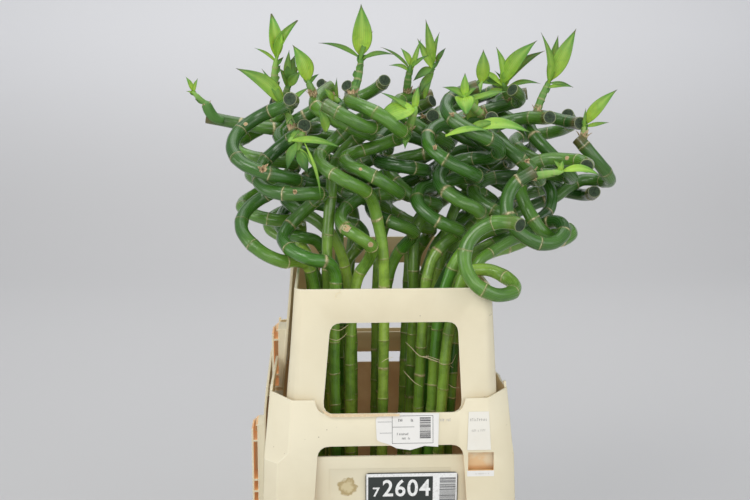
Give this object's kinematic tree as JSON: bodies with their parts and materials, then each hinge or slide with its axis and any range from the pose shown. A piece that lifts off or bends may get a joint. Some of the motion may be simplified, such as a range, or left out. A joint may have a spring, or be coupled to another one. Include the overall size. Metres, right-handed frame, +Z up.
{
  "type": "lucky bamboo",
  "caption": "Bunch of spiral lucky bamboo with leafy shoots, standing in water in a cream plastic flower-trade bucket with stacked window collars.",
  "frame": {"origin": "middle of the bucket's underside", "axes": "+Z up along the stems, -Y towards the side with the number plate, +X to the right seen from there"},
  "size_m": [0.481, 0.3784, 0.7508],
  "materials": {
    "culm": "gloss",
    "shoot": "satin",
    "plastic": "satin",
    "water": "gloss",
    "plate": "matte",
    "paper": "matte"
  },
  "bodies": {
    "root": {"culm_01": "culm", "culm_02": "culm", "culm_03": "culm", "culm_04": "culm", "culm_05": "culm", "culm_06": "culm", "culm_07": "culm", "culm_08": "culm", "culm_09": "culm", "culm_10": "culm", "culm_11": "culm", "culm_12": "culm", "culm_13": "culm", "culm_14": "culm", "culm_15": "culm", "culm_16": "culm", "culm_17": "culm", "culm_18": "culm", "culm_19": "culm", "culm_20": "culm", "culm_21": "culm", "culm_22": "culm", "culm_23": "culm", "culm_24": "culm", "culm_25": "culm", "culm_26": "culm", "culm_27": "culm", "culm_28": "culm", "culm_29": "culm", "culm_30": "culm", "culm_31": "culm", "culm_32": "culm", "water": "water", "bucket": "plastic", "lower_collar_front": "plastic", "lower_collar_rear": "plastic", "upper_collar_front": "plastic", "upper_collar_rear": "plastic", "number_plate": "plate", "torn_label": "paper", "faded_label": "paper", "shoot_01": "shoot", "shoot_02": "shoot", "shoot_03": "shoot", "shoot_04": "shoot", "shoot_05": "shoot", "shoot_06": "shoot", "shoot_07": "shoot", "shoot_08": "shoot", "shoot_09": "shoot", "shoot_10": "shoot", "shoot_11": "shoot", "shoot_12": "shoot", "shoot_13": "shoot", "shoot_14": "shoot", "shoot_15": "shoot", "shoot_16": "shoot", "shoot_17": "shoot", "shoot_18": "shoot", "shoot_19": "shoot"}
  },
  "joints": []
}
